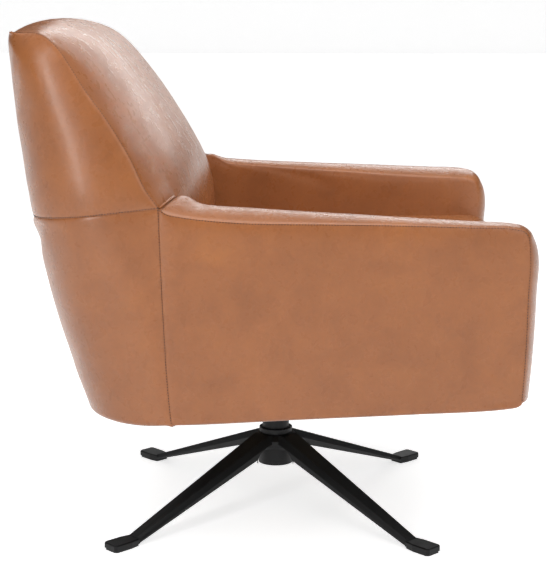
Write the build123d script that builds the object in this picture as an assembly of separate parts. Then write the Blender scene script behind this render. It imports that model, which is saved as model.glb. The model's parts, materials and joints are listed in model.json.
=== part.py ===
from build123d import *
import os

# Lounge chair on a four-legged swivel base. Millimetres, +Z up, floor at Z = 0.
# The swivel axis is Z and the chair faces -Y.

# Running and seating clearances
overrun = 5.0
turning_gap = 0.05
thrust_gap = 0.1
soft_gap = 0.4
seat_gap = 0.2

# Base: legs, feet and hub
leg_count = 4
leg_root_radius = 40.0
leg_root_low = 99.0
leg_root_height = 24.0
leg_root_width = 47.0
leg_neck_radius = 318.0
leg_neck_height = 9.5
leg_neck_width = 27.0
leg_top_share = 0.72
leg_band_share = 0.5
channel_start = 70.0
channel_end = 272.0
channel_wall = 4.0
channel_roof = 5.0
foot_length = 47.0
foot_width = 33.0
foot_thickness = 9.0
foot_shoulder = 14.0
foot_corner = 4.0
foot_edge = 1.6
glide_thickness = 3.5
glide_inset = 1.5
hub_radius = 30.5
hub_bottom = 76.0
hub_shoulder_radius = 39.0
hub_shoulder_low = 98.0
hub_shoulder_high = 117.0
hub_top = 126.0
arch_radius = 30.0
arch_top = 112.0
web_radius = 24.0
skirt_radius = 56.0
skirt_edge = 98.0

# Hub cap under the boss
cap_thickness = 4.0
cap_spigot_height = 9.0
cap_wall = 2.5

# Column and swivel bearing
tube_radius = 23.0
tube_wall = 2.5
tube_rise = 159.0
collar_radius = 28.5
collar_height = 8.5
spindle_radius = 14.0
bush_length = 28.0
bush_flange_thickness = 2.0
lower_bush_height = 18.0
thrust_washer_thickness = 2.0
thrust_washer_edge = 2.0
socket_radius = 24.0
socket_height = 7.0
clip_radius = 18.0
clip_thickness = 1.5
clip_groove_depth = 1.4
clip_mouth = 14.0
clip_washer_thickness = 1.2
clip_land = 4.0
spindle_nose = 1.5

# Seat plate, board and their bolts
plate_length = 200.0
plate_width = 160.0
plate_thickness = 4.0
plate_corner = 12.0
plate_lip_height = 8.0
plate_lip_thickness = 3.0
bolt_spacing_x = 160.0
bolt_spacing_y = 116.0
bolt_radius = 4.0
bolt_head_across_flats = 13.0
bolt_head_height = 5.3
nut_barrel_radius = 5.5
nut_flange_size = 20.0
nut_flange_thickness = 1.5
board_length = 300.0
board_width = 260.0
board_thickness = 18.0

# Chair body, outside. Rises are above the rear bottom edge of the body, and depths are
# measured forward from the rearmost line of the back.
body_drop = 4.0
body_width = 794.0
body_depth = 800.0
front_setback = 17.0
front_lean = 9.0
front_bottom_rise = 40.0
front_floor_rise = 32.0
arm_front_rise = 297.0
arm_rear_rise = 313.0
arm_root_rise = 322.0
arm_root_depth = 293.0
arm_top_radius = 26.0
arm_foot_radius = 10.0
arm_edge_radius = 11.0
arm_width = 95.0
side_seam_depth = 250.0
joint_rise = 323.0
joint_depth = 243.0
kink_rise = 297.0
rear_bottom_depth = 107.0
rear_kink_depth = 30.0
rear_bow = 22.0
rear_corner_radius = 128.0

# Back
back_front_depth = 281.0
back_front_rise = 331.0
back_shoulder_rise = 541.0
back_shoulder_depth = 142.0
back_crown = 30.0
back_front_corner = 6.0
back_top_corner_radius = 50.0
back_top_rise = 590.0
back_top_inset = 37.0
back_curl = 60.0
back_curl_drop_shares = (1.0, 0.53, 0.28, 0.1, 0.0)
back_front_curl_shares = (0.0, 0.45, 0.75, 1.12, 1.37)
back_rear_curl_shares = (0.0, 0.03, 0.2, 0.4, 0.53)
back_tip_shares = (1.0, 0.8, 0.5, 0.25, 0.1)
seam_top_rise = 571.0
seam_shoulder_rise = 554.0
seam_shoulder_depth = 94.0
seam_lip_depth = 74.0
back_pad_thickness = 64.0
hollow_rear_wall = 32.0
hollow_side_wall = 67.0

# Upholstery and boards
cover_wall = 19.0
arm_pad_top = 27.0
arm_pad_outer = 17.0
arm_board_thickness = 36.0
arm_rail_width = 56.0
deck_rise = 84.0
deck_pad_thickness = 6.0
webbing_width = 50.0
webbing_thickness = 2.0
seat_web_count = 7
cross_web_count = 4
back_web_count = 5
apron_thickness = 19.0
apron_recess = 5.0
apron_corner = 8.0
dust_cover_thickness = 1.5
dust_cover_trim = 2.0

# Seat cushion
cushion_top_rise = 221.0
cushion_crown = 13.0
cushion_edge_radius = 22.0
cushion_nose_inset = 26.0
cushion_side_swell = 3.0
cushion_width_trim = 4.0
cushion_place_shares = (0.0, 0.012, 0.034, 0.07, 0.13, 0.5, 0.93, 1.0)
cushion_nose_shares = (1.0, 0.62, 0.32, 0.12, 0.0, 0.0, 0.0, 0.2)

# Seat frame and back frame
rail_thickness = 25.0
rail_lift = 4.0
cross_rail_thickness = 40.0
cross_rail_height = 50.0
cross_rail_spacing = 220.0
rear_rail_depth = 174.0
corner_block_size = 60.0
corner_block_height = 40.0
post_thickness = 30.0
post_foot_width = 60.0
post_top_width = 26.0
post_top_rise = 528.0
post_end_trim = 3.0
back_rail_thickness = 22.0
back_rail_height = 60.0
back_rail_rise_shares = (0.3, 0.58, 0.93)
back_web_low_share = 0.34
back_web_high_share = 0.9

# Worked-out places
leg_reach = leg_neck_radius + foot_length
column_bottom = hub_bottom
column_top = column_bottom + tube_rise
bush_top = column_top + bush_flange_thickness
socket_bottom = bush_top + thrust_washer_thickness + thrust_gap
plate_bottom = socket_bottom + socket_height
plate_top = plate_bottom + plate_thickness
board_top = plate_top + board_thickness
body_floor = plate_top - body_drop
half_width = body_width / 2
arm_inside = half_width - arm_width
frame_outside = half_width - arm_pad_outer
frame_inside = frame_outside - arm_board_thickness
tube_inner_radius = tube_radius - tube_wall
rear_top_at = body_depth / 2
cushion_front_at = -body_depth / 2
front_face_at = cushion_front_at + front_setback
front_bottom_at = front_face_at + front_lean
arm_root_at = rear_top_at - arm_root_depth
side_seam_at = rear_top_at - side_seam_depth
joint_at = rear_top_at - joint_depth
rear_bottom_at = rear_top_at - rear_bottom_depth
rear_kink_at = rear_top_at - rear_kink_depth
rear_rail_at = rear_top_at - rear_rail_depth
back_front_at = rear_top_at - back_front_depth
back_shoulder_front_at = rear_top_at - back_shoulder_depth
seam_shoulder_at = rear_top_at - seam_shoulder_depth
seam_lip_at = rear_top_at - seam_lip_depth
deck_height = body_floor + deck_rise
web_top = deck_height + 2 * webbing_thickness
deck_pad_top = web_top + deck_pad_thickness + seat_gap
kink_height = body_floor + kink_rise
joint_height = body_floor + joint_rise
bend_height = body_floor + back_front_rise
shoulder_height = body_floor + back_shoulder_rise
top_height = body_floor + back_top_rise
rail_inside = frame_inside - rail_thickness
post_inside = rail_inside - post_thickness
front_rail_face = front_face_at + apron_recess + apron_thickness + soft_gap
bottom_slope = front_floor_rise / (side_seam_at - front_bottom_at)


def outline(corners, radii=0.0):
    """Closed flat outline, with a rounding radius for each corner."""
    return make_face(FilletPolyline(*corners, radius=radii, close=True))


def across(face, low, high):
    """Solid of a side outline, drawn as (Y, Z), between two places along X."""
    return extrude(Plane.YZ.offset(low) * face, amount=high - low)


def block(low, high):
    """Box between two corners."""
    size = [top - bottom for bottom, top in zip(low, high)]
    middle = [(top + bottom) / 2 for bottom, top in zip(low, high)]
    return Pos(*middle) * Box(*size)


def drum(radius, low, high, inner=0.0):
    """Upright cylinder on the swivel axis, bored through when an inner radius is given."""
    body = Pos(0, 0, (low + high) / 2) * Cylinder(radius, high - low)
    if inner:
        body -= Pos(0, 0, (low + high) / 2) * Cylinder(inner, high - low + 2 * overrun)
    return body


def mirrored(part):
    """The same piece on the other side of the chair."""
    return mirror(part, about=Plane.YZ)


def around(part):
    """One copy of a piece for each leg, starting on the diagonal."""
    step = 360 / leg_count
    return [Rot(0, 0, step / 2 + step * index) * part for index in range(leg_count)]


def floor_height(place):
    """Height of the body's bottom edge at a place along the depth."""
    return body_floor + max(0.0, side_seam_at - place) * bottom_slope


# Base

def leg_share(radius):
    """How far along the leg a radius lies, from root to neck."""
    return (radius - leg_root_radius) / (leg_neck_radius - leg_root_radius)


def leg_low(radius):
    """Height of the leg's lower edge at a radius."""
    return leg_root_low + (glide_thickness - leg_root_low) * leg_share(radius)


def leg_high(radius):
    """Height of the leg's top at a radius."""
    rise = leg_root_height + (leg_neck_height - leg_root_height) * leg_share(radius)
    return leg_low(radius) + rise


def leg_half(radius):
    """Half of the leg's width at a radius."""
    return (leg_root_width + (leg_neck_width - leg_root_width) * leg_share(radius)) / 2


def leg_bar(near, far, inset=0.0, drop=0.0):
    """Straight tapered bar between two radii, drawn in from its sides and its top."""
    plan = outline([(near, inset - leg_half(near)), (far, inset - leg_half(far)),
                    (far, leg_half(far) - inset), (near, leg_half(near) - inset)])
    under = overrun if inset else 0.0
    side = outline([(near, leg_low(near) - under), (far, leg_low(far) - under),
                    (far, leg_high(far) - drop), (near, leg_high(near) - drop)])
    return extrude(plan, amount=hub_top) & extrude(Plane.XZ * side, amount=leg_root_width, both=True)


def shoulder_cut():
    """Everything above the slanted shoulder on one side of the leg."""
    root = leg_root_radius
    neck = leg_neck_radius
    flat = Vector(root, leg_half(root) * leg_top_share, leg_high(root))
    far_flat = Vector(neck, leg_half(neck) * leg_top_share, leg_high(neck))
    band = leg_low(root) + leg_root_height * leg_band_share
    slant = Vector(root, leg_half(root), band) - flat
    along = far_flat - flat
    plane = Plane(origin=flat, x_dir=along, z_dir=along.cross(slant))
    return extrude(plane * Rectangle(4 * neck, 4 * neck), amount=leg_root_width)


def foot_outline(inset=0.0):
    """Spade outline of a foot, from the leg's neck to the outer edge."""
    half = foot_width / 2 - inset
    neck = leg_neck_width / 2 - inset
    heel = leg_neck_radius - foot_corner + inset
    toe = leg_reach - inset
    shoulder = leg_neck_radius + foot_shoulder
    corners = [(heel, -neck), (shoulder, -half), (toe - foot_corner, -half), (toe, -half + foot_corner),
               (toe, half - foot_corner), (toe - foot_corner, half), (shoulder, half), (heel, neck)]
    return outline(corners)


def make_leg():
    leg = leg_bar(leg_root_radius / 2, leg_neck_radius)
    leg -= shoulder_cut()
    leg -= mirror(shoulder_cut(), about=Plane.XZ)
    foot = extrude(Plane.XY.offset(glide_thickness) * foot_outline(), amount=foot_thickness)
    foot = chamfer(foot.faces().sort_by(Axis.Z)[-1].edges(), foot_edge)
    return leg + foot - leg_bar(channel_start, channel_end, channel_wall, channel_roof)


def make_web():
    """Web that rounds the corner between two neighbouring legs, under a sloping skirt."""
    half = leg_root_width / 2
    reach = half + web_radius
    middle = reach - web_radius * 0.5 ** 0.5
    plan = make_face([Line((0, 0), (reach, half)),
                      ThreePointArc((reach, half), (middle, middle), (half, reach)),
                      Line((half, reach), (0, 0))])
    skirt = outline([(0, hub_bottom), (skirt_radius, hub_bottom), (skirt_radius, skirt_edge),
                     (hub_shoulder_radius, hub_shoulder_high), (0, hub_shoulder_high)])
    return extrude(plan, amount=hub_top) & revolve(Plane.XZ * skirt, axis=Axis.Z)


def make_arch():
    """Tunnel that arches the underside of the webs, from one side of the hub to the other."""
    reach = 2 * leg_root_radius
    return Pos(0, 0, arch_top - arch_radius) * Rot(0, 90, 0) * Cylinder(arch_radius, 2 * reach)


def make_base_casting():
    star = make_web()
    for leg in around(make_leg()):
        star += leg
    for web in around(Rot(0, 0, 180 / leg_count) * make_web()):
        star += web
    for turn in (0, 90):
        star -= Rot(0, 0, turn) * make_arch()
    hub = outline([(0, hub_bottom), (hub_radius, hub_bottom), (hub_radius, hub_shoulder_low),
                   (hub_shoulder_radius, hub_shoulder_low + hub_shoulder_radius - hub_radius),
                   (hub_shoulder_radius, hub_shoulder_high), (hub_radius, hub_top), (0, hub_top)])
    star += revolve(Plane.XZ * hub, axis=Axis.Z)
    return star - drum(tube_radius, hub_bottom - overrun, hub_top + overrun)


def make_glides():
    glide = extrude(foot_outline(glide_inset), amount=glide_thickness)
    return around(glide)


def make_hub_cap():
    cap = drum(hub_radius - seat_gap, hub_bottom - cap_thickness, hub_bottom)
    spigot_radius = tube_inner_radius - seat_gap
    return cap + drum(spigot_radius, hub_bottom, hub_bottom + cap_spigot_height, spigot_radius - cap_wall)


# Column and swivel bearing

def make_column_tube():
    return drum(tube_radius, column_bottom, column_top, tube_inner_radius)


def make_column_collar():
    return drum(collar_radius, hub_top, hub_top + collar_height, tube_radius + turning_gap)


def make_lower_bush():
    low = column_bottom + lower_bush_height
    return drum(tube_inner_radius, low, low + bush_length, spindle_radius + turning_gap)


def make_upper_bush():
    bush = drum(tube_inner_radius, column_top - bush_length, column_top, spindle_radius + turning_gap)
    return bush + drum(tube_radius, column_top, bush_top, spindle_radius + turning_gap)


def make_thrust_washer():
    radius = tube_radius - thrust_washer_edge
    return drum(radius, bush_top, bush_top + thrust_washer_thickness, spindle_radius + seat_gap)


washer_top = column_bottom + lower_bush_height - thrust_gap
clip_top = washer_top - clip_washer_thickness
clip_bottom = clip_top - clip_thickness


def make_spindle():
    low = clip_bottom - clip_land
    spindle = drum(spindle_radius, low, plate_top)
    spindle = chamfer(spindle.edges().filter_by(GeomType.CIRCLE).sort_by(Axis.Z)[0], spindle_nose)
    groove = drum(spindle_radius + overrun, clip_bottom, clip_top, spindle_radius - clip_groove_depth)
    return spindle - groove


def make_retaining_clip():
    inner = spindle_radius - clip_groove_depth + turning_gap
    clip = drum(clip_radius, clip_bottom + turning_gap, clip_top - turning_gap, inner)
    mouth = block((0, -clip_mouth / 2, clip_bottom - overrun),
                  (clip_radius + overrun, clip_mouth / 2, clip_top + overrun))
    return clip - mouth


def make_clip_washer():
    return drum(tube_inner_radius - seat_gap, clip_top, washer_top, spindle_radius + turning_gap)


# Seat plate, board and bolts

def bolt_places():
    """Centres of the plate's four bolts."""
    return [(side * bolt_spacing_x / 2, end * bolt_spacing_y / 2) for side in (-1, 1) for end in (-1, 1)]


def make_seat_plate():
    plate = Pos(0, 0, plate_bottom) * extrude(RectangleRounded(plate_length, plate_width, plate_corner),
                                              amount=plate_thickness)
    for side in (-1, 1):
        lip = block((plate_corner - plate_length / 2, -plate_lip_thickness / 2, -plate_lip_height),
                    (plate_length / 2 - plate_corner, plate_lip_thickness / 2, 0))
        plate += Pos(0, side * (plate_width - plate_lip_thickness) / 2, plate_bottom) * lip
    plate += drum(socket_radius, socket_bottom, plate_bottom)
    plate -= drum(spindle_radius + turning_gap, socket_bottom - overrun, plate_top + overrun)
    for x, y in bolt_places():
        plate -= Pos(x, y, plate_bottom) * Cylinder(bolt_radius + seat_gap, plate_thickness * 2 + overrun)
    return plate


def make_plate_bolts():
    hexagon = RegularPolygon(bolt_head_across_flats / 2, 6, major_radius=False)
    head = extrude(hexagon, amount=bolt_head_height)
    shank = extrude(Circle(bolt_radius), amount=board_top - plate_bottom)
    bolt = Pos(0, 0, -bolt_head_height) * head + shank
    return [Pos(x, y, plate_bottom) * bolt for x, y in bolt_places()]


def make_tee_nuts():
    barrel = extrude(Circle(nut_barrel_radius), amount=board_thickness)
    flange = Pos(0, 0, board_thickness + nut_flange_thickness / 2)
    flange = flange * Box(nut_flange_size, nut_flange_size, nut_flange_thickness)
    bore = Pos(0, 0, board_thickness / 2) * Cylinder(bolt_radius + turning_gap, board_thickness * 2)
    nut = barrel + flange - bore
    return [Pos(x, y, plate_top) * nut for x, y in bolt_places()]


def make_swivel_board():
    board = block((-board_length / 2, -board_width / 2, plate_top),
                  (board_length / 2, board_width / 2, board_top))
    for x, y in bolt_places():
        board -= Pos(x, y, plate_top) * Cylinder(nut_barrel_radius + turning_gap, board_thickness * 3)
    return board


# Seat frame

def make_side_rail():
    """Long rail whose lower edge follows the body's bottom edge."""
    front = front_rail_face + rail_thickness
    top = deck_height + webbing_thickness
    side = outline([(front, floor_height(front) + rail_lift), (side_seam_at, body_floor + rail_lift),
                    (rear_rail_at, body_floor + rail_lift), (rear_rail_at, top), (front, top)])
    return across(side, rail_inside, frame_inside)


def make_front_rail():
    low = floor_height(front_rail_face) + rail_lift
    return block((-frame_inside, front_rail_face, low),
                 (frame_inside, front_rail_face + rail_thickness, deck_height))


def make_rear_rail():
    return block((-post_inside, rear_rail_at - rail_thickness, body_floor + rail_lift),
                 (post_inside, rear_rail_at, deck_height))


def make_cross_rail():
    """Rail from front to rear that the swivel board is screwed to, relieved over the tee nuts."""
    front = front_rail_face + rail_thickness
    rear = rear_rail_at - rail_thickness
    top = board_top + cross_rail_height
    side = outline([(front, floor_height(front) + rail_lift), (-board_width / 2, board_top),
                    (rear, board_top), (rear, top), (front, top)])
    middle = cross_rail_spacing / 2
    rail = across(side, middle - cross_rail_thickness / 2, middle + cross_rail_thickness / 2)
    reach = nut_flange_size / 2 + seat_gap
    for x, y in bolt_places():
        rail -= block((x - reach, y - reach, board_top - overrun),
                      (x + reach, y + reach, board_top + nut_flange_thickness + seat_gap))
    return rail


def make_corner_blocks():
    """Glued triangles in the four corners of the seat frame."""
    reach = corner_block_size
    low = deck_height - corner_block_height - webbing_thickness
    blocks = []
    for side in (-1, 1):
        for end, wall, corner in ((1, front_rail_face + rail_thickness, rail_inside),
                                  (-1, rear_rail_at - rail_thickness, post_inside)):
            corners = [(side * corner, wall), (side * (corner - reach), wall),
                       (side * corner, wall + end * reach)]
            blocks.append(extrude(Plane.XY.offset(low) * outline(corners), amount=corner_block_height))
    return blocks


def make_seat_webbing():
    """Straps along the seat, stapled to the tops of the front and rear rails."""
    pitch = 2 * post_inside / seat_web_count
    straps = []
    for index in range(seat_web_count):
        middle = -post_inside + pitch * (index + 1 / 2)
        straps.append(block((middle - webbing_width / 2, front_rail_face, deck_height),
                            (middle + webbing_width / 2, rear_rail_at, deck_height + webbing_thickness)))
    return straps


def make_cross_webbing():
    """Straps across the seat, over the first set, ending on the side rails."""
    low = deck_height + webbing_thickness
    front = front_rail_face + 2 * rail_thickness
    pitch = (back_front_at - front) / cross_web_count
    straps = []
    for index in range(cross_web_count):
        middle = front + pitch * (index + 1 / 2)
        straps.append(block((-frame_inside, middle - webbing_width / 2, low),
                            (frame_inside, middle + webbing_width / 2, low + webbing_thickness)))
    return straps


def make_deck_pad():
    return block((-arm_inside + soft_gap, front_rail_face, web_top + seat_gap),
                 (arm_inside - soft_gap, back_front_at + back_pad_thickness, deck_pad_top))


# Arms

def arm_outline(inset_top=0.0, inset_front=0.0, lift=0.0, rear=side_seam_at, radius=arm_top_radius):
    """Side outline of an arm, drawn in from its top, front and bottom."""
    front = front_face_at + inset_front
    bottom = front_bottom_at + inset_front
    floor = body_floor + lift
    toe = bottom + front_bottom_rise - front_floor_rise
    corners = [(bottom, floor + front_bottom_rise), (toe, floor + front_floor_rise), (rear, floor),
               (rear, joint_height - inset_top), (arm_root_at, body_floor + arm_root_rise - inset_top),
               (arm_root_at / 2, body_floor + arm_rear_rise - inset_top),
               (front, body_floor + arm_front_rise - inset_top)]
    return outline(corners, [0.0, arm_foot_radius / 2, 0.0, 0.0, 0.0, 0.0, radius])


def make_arm_pad():
    """Padded and covered arm, with the space for its board and the seat rail left open below."""
    arm = across(arm_outline(), arm_inside, half_width)
    rim = []
    for edge in arm.edges():
        middle = edge @ 0.5
        on_side = abs(middle.X - half_width) < soft_gap or abs(middle.X - arm_inside) < soft_gap
        if on_side and middle.Z > body_floor + front_bottom_rise and middle.Y < side_seam_at - soft_gap:
            rim.append(edge)
    arm = fillet(rim, arm_edge_radius)
    gap = soft_gap
    core = arm_outline(arm_pad_top - gap, arm_pad_top - gap, -overrun, side_seam_at + overrun,
                       arm_foot_radius)
    arm -= across(core, frame_inside - gap, frame_outside + gap)
    seat_space = block((arm_inside - overrun, front_rail_face - gap, body_floor - overrun),
                       (frame_outside, side_seam_at + overrun, web_top + seat_gap))
    return arm - seat_space


def make_arm_board():
    """Wooden arm frame: top rail, front post, rear post and lower rail round an open middle."""
    board = arm_outline(arm_pad_top, arm_pad_top, rail_lift, side_seam_at, arm_foot_radius)
    front = front_face_at + arm_pad_top + arm_rail_width
    rear = side_seam_at - arm_rail_width
    low = body_floor + front_floor_rise + arm_rail_width
    high = body_floor + arm_front_rise - arm_pad_top - arm_rail_width
    window = outline([(front, low), (rear, low), (rear, high), (front, high)], arm_foot_radius)
    return across(board, frame_inside, frame_outside) - across(window, frame_inside - overrun, half_width)


# Back

def plan_outline(front, rear, half, front_radius, rear_radius, crown=back_crown, bow=rear_bow):
    """Plan of the back at one height: crowned front, straight sides and a bowed rear."""
    lines = [ThreePointArc((-half, front + crown), (0, front), (half, front + crown)),
             Line((half, front + crown), (half, rear - bow)),
             ThreePointArc((half, rear - bow), (0, rear), (-half, rear - bow)),
             Line((-half, rear - bow), (-half, front + crown))]
    face = make_face(lines)
    face = fillet(face.vertices().sort_by(Axis.Y)[:2], front_radius)
    return fillet(face.vertices().sort_by(Axis.Y)[-2:], rear_radius)


def seam_section(front, rear, half, front_radius, rear_radius, lift=0.0):
    """The same plan laid on the sloping plane of the seam that runs round the back."""
    fall = joint_height - kink_height
    run = rear_kink_at - joint_at
    stretch = (fall ** 2 + run ** 2) ** 0.5 / run
    plane = Plane(origin=(0, joint_at, joint_height + lift), x_dir=(1, 0, 0), z_dir=(0, fall, run))
    return plane * plan_outline((front - joint_at) * stretch, (rear - joint_at) * stretch, half,
                                front_radius, rear_radius)


def lower_form(inset=0.0, reach=0.0):
    """Form of the body behind the side seams, from the bottom edge up to the sloping seam."""
    front = side_seam_at - rear_corner_radius
    half = half_width - inset
    radius = rear_corner_radius - inset
    bottom = plan_outline(front, rear_bottom_at - inset, half, back_front_corner, radius)
    top = seam_section(front, rear_kink_at - inset, half, back_front_corner, radius, reach)
    return loft([Plane.XY.offset(body_floor - reach) * bottom, top], ruled=True)


def make_lower_shell():
    """Covered lower back: a wall that runs round the rear from one side seam to the other."""
    front = block((-body_width, -body_depth, 0), (body_width, side_seam_at, body_depth))
    return lower_form() - lower_form(cover_wall, overrun) - front


def top_width_at(height):
    """Half width of the back at a height: it narrows above the front's lower bend."""
    share = (height - bend_height) / (top_height - bend_height)
    return half_width - back_top_inset * max(0.0, share)


def front_at(height):
    """Place of the back's front face at a height: upright below the bend, leaning above it."""
    share = (height - bend_height) / (shoulder_height - bend_height)
    return back_front_at + (back_shoulder_front_at - back_front_at) * max(0.0, share)


def rear_share(height):
    """How far up the rear a height lies, from the seam to the shoulder."""
    return (height - kink_height) / (shoulder_height - kink_height)


def rear_at(height):
    """Place of the back's rear face at a height."""
    return rear_kink_at + (rear_top_at - rear_kink_at) * rear_share(height)


def below_seam():
    """Side outline of everything below the sloping plane of the seam that runs round the back."""
    slope = (joint_height - kink_height) / (rear_kink_at - joint_at)
    front = joint_height + slope * (joint_at + body_depth)
    rear = joint_height + slope * (joint_at - body_depth)
    return outline([(-body_depth, 0), (body_depth, 0), (body_depth, rear), (-body_depth, front)])


def upper_form():
    """Form of the back from the sloping seam up to its shoulder, drawn in at the sides and rear."""
    sections = []
    for height in (kink_height - overrun, bend_height, shoulder_height):
        share = rear_share(height)
        corner = rear_corner_radius + (back_top_corner_radius - rear_corner_radius) * share
        face = plan_outline(front_at(height), rear_at(height), top_width_at(height),
                            back_front_corner, corner)
        sections.append(Plane.XY.offset(height) * face)
    form = loft(sections, ruled=True)
    return form - across(below_seam(), -body_width, body_width)


def upper_hollow():
    """Space with flat walls for the wooden frame behind the cover."""
    low = kink_height - 2 * overrun
    wall = rear_bow + hollow_rear_wall
    side = outline([(front_at(low) - overrun, low), (rear_at(low) - wall, low),
                    (rear_at(shoulder_height) - wall, shoulder_height),
                    (front_at(shoulder_height) - overrun, shoulder_height),
                    (front_at(low) - overrun, bend_height)])
    half = half_width - hollow_side_wall
    return across(side, -half, half)


def top_roll():
    """Top of the back, rounded over from the front, the sides and the rear."""
    sections = []
    for drop, front_curl, rear_curl, tip in zip(back_curl_drop_shares, back_front_curl_shares,
                                                back_rear_curl_shares, back_tip_shares):
        height = top_height - (top_height - shoulder_height) * drop
        half = top_width_at(height) - back_curl * rear_curl
        face = plan_outline(back_shoulder_front_at + back_curl * front_curl,
                            rear_top_at - back_curl * rear_curl, half, back_front_corner * tip,
                            back_top_corner_radius * tip, back_crown * tip, rear_bow * tip)
        sections.append(Plane.XY.offset(height) * face)
    return loft(sections, ruled=True)


def seam_side():
    """Side outline of everything behind and below the seam between front band and rear cover."""
    lip = body_floor + seam_top_rise
    return outline([(joint_at, joint_height), (seam_shoulder_at, body_floor + seam_shoulder_rise),
                    (seam_lip_at, lip), (body_depth, lip), (body_depth, body_floor), (joint_at, body_floor)])


def make_rear_cover():
    """Covered outer back: both wings and the rear in one, hollow for the wooden frame."""
    form = (upper_form() + top_roll()) & across(seam_side(), -body_width, body_width)
    return form - upper_hollow()


def pad_core():
    """Side outline of the thick middle of the back pad, above the bend."""
    top = body_floor + post_top_rise
    ahead = rear_bow
    depth = back_pad_thickness
    return outline([(back_front_at - ahead, joint_height - arm_pad_top), (front_at(top) - ahead, top),
                    (front_at(top) + depth, top), (back_front_at + depth, bend_height),
                    (back_front_at + depth, joint_height - arm_pad_top)])


def pad_foot():
    """Crowned lower part of the back pad, between the arms and down to the deck."""
    low = deck_pad_top + soft_gap
    edge = back_front_at + back_crown
    rear = back_front_at + back_pad_thickness
    plan = make_face([ThreePointArc((-half_width, edge), (0, back_front_at), (half_width, edge)),
                      Line((half_width, edge), (half_width, rear)),
                      Line((half_width, rear), (-half_width, rear)),
                      Line((-half_width, rear), (-half_width, edge))])
    column = extrude(Plane.XY.offset(low) * plan, amount=bend_height - low)
    half = arm_inside - soft_gap
    return column & across(below_seam(), -half, half)


def make_back_pad():
    """Front of the back: a padded band over the front and top, thick between the wings."""
    whole = outline([(-body_depth, 0), (body_depth, 0), (body_depth, body_depth + top_height),
                     (-body_depth, body_depth + top_height)])
    zone = across(whole, -body_width, body_width) - across(seam_side(), -body_width, body_width)
    half = arm_inside - soft_gap
    zone += across(pad_core(), -half, half)
    return ((upper_form() + top_roll()) & zone) + pad_foot()


# Back frame

def post_front_at(height):
    """Place of the posts' front faces at a height, behind the pad and its webbing."""
    bend = body_floor + back_front_rise
    return front_at(max(height, bend)) + back_pad_thickness + soft_gap + webbing_thickness


def leaning_strip(low, high, near, far):
    """Side outline of a strip that follows the posts' front faces between two heights."""
    bend = body_floor + back_front_rise
    heights = [low, bend, high] if low < bend < high else [low, high]
    front = [(post_front_at(height) + near, height) for height in heights]
    rear = [(post_front_at(height) + far, height) for height in reversed(heights)]
    return outline(front + rear)


def make_back_post():
    foot = body_floor + rail_lift
    bend = body_floor + back_front_rise
    top = body_floor + post_top_rise - post_end_trim
    side = outline([(post_front_at(foot), foot), (post_front_at(foot) + post_foot_width, foot),
                    (post_front_at(bend) + post_foot_width, bend),
                    (post_front_at(top) + post_top_width, top), (post_front_at(top), top),
                    (post_front_at(bend), bend)])
    return across(side, post_inside, rail_inside)


def make_back_rails():
    """Lower, middle and top rails between the posts."""
    rails = []
    for share in back_rail_rise_shares:
        middle = body_floor + post_top_rise * share
        reach = back_rail_height / 2
        strip = leaning_strip(middle - reach, middle + reach, 0.0, back_rail_thickness)
        rails.append(across(strip, -post_inside, post_inside))
    return rails


def make_back_webbing():
    """Straps across the back, stapled to the posts' front faces."""
    straps = []
    step = (back_web_high_share - back_web_low_share) / (back_web_count - 1)
    for index in range(back_web_count):
        middle = body_floor + post_top_rise * (back_web_low_share + step * index)
        reach = webbing_width / 2
        strip = leaning_strip(middle - reach, middle + reach, -webbing_thickness, 0.0)
        straps.append(across(strip, -rail_inside, rail_inside))
    return straps


# Seat and underside

def make_seat_cushion():
    """Crowned seat cushion with a rolled nose and sides that draw in towards its ends."""
    low = deck_pad_top + soft_gap
    length = back_front_at - soft_gap - cushion_front_at
    sections = []
    for place, nose in zip(cushion_place_shares, cushion_nose_shares):
        draw = cushion_nose_inset * nose
        half = arm_inside - cushion_width_trim - draw / 2
        crest = body_floor + cushion_top_rise - draw
        side = crest - cushion_crown
        bottom = low + draw
        middle = (bottom + side) / 2
        lines = [Line((-half, bottom), (half, bottom)),
                 ThreePointArc((half, bottom), (half + cushion_side_swell, middle), (half, side)),
                 ThreePointArc((half, side), (0, crest), (-half, side)),
                 ThreePointArc((-half, side), (-half - cushion_side_swell, middle), (-half, bottom))]
        face = make_face(lines)
        face = fillet(face.vertices(), cushion_edge_radius)
        place_at = cushion_front_at + length * place
        sections.append(Plane(origin=(0, place_at, 0), x_dir=(1, 0, 0), z_dir=(0, -1, 0)) * face)
    return loft(sections, ruled=True)


def make_front_apron():
    """Padded strip over the front rail, between the arms and under the cushion."""
    front = front_face_at + apron_recess
    rear = front + apron_thickness
    low = floor_height(front)
    side = outline([(front, low), (rear, low), (rear, web_top), (front, web_top)],
                   [apron_corner, 0.0, 0.0, apron_corner])
    return across(side, -arm_inside + soft_gap, arm_inside - soft_gap)


def make_dust_cover():
    """Cloth sheet that closes the underside round the swivel board."""
    front = front_rail_face
    rear = rear_bottom_at
    low = rail_lift - dust_cover_thickness - seat_gap
    high = rail_lift - seat_gap
    side = outline([(front, floor_height(front) + low), (side_seam_at, body_floor + low),
                    (rear, body_floor + low), (rear, body_floor + high), (side_seam_at, body_floor + high),
                    (front, floor_height(front) + high)])
    half = frame_outside - dust_cover_trim
    radius = rear_corner_radius - cover_wall - dust_cover_trim
    plan = plan_outline(front - back_crown - radius, rear_bottom_at - cover_wall - dust_cover_trim, half,
                        back_front_corner, radius)
    column = extrude(Plane.XY.offset(body_floor - overrun) * plan,
                     amount=rail_lift + front_floor_rise + 2 * overrun)
    hole_x = board_length / 2 + dust_cover_trim
    hole_y = board_width / 2 + dust_cover_trim
    hole = block((-hole_x, -hole_y, body_floor - overrun), (hole_x, hole_y, board_top + overrun))
    return (across(side, -half, half) & column) - hole


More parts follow.
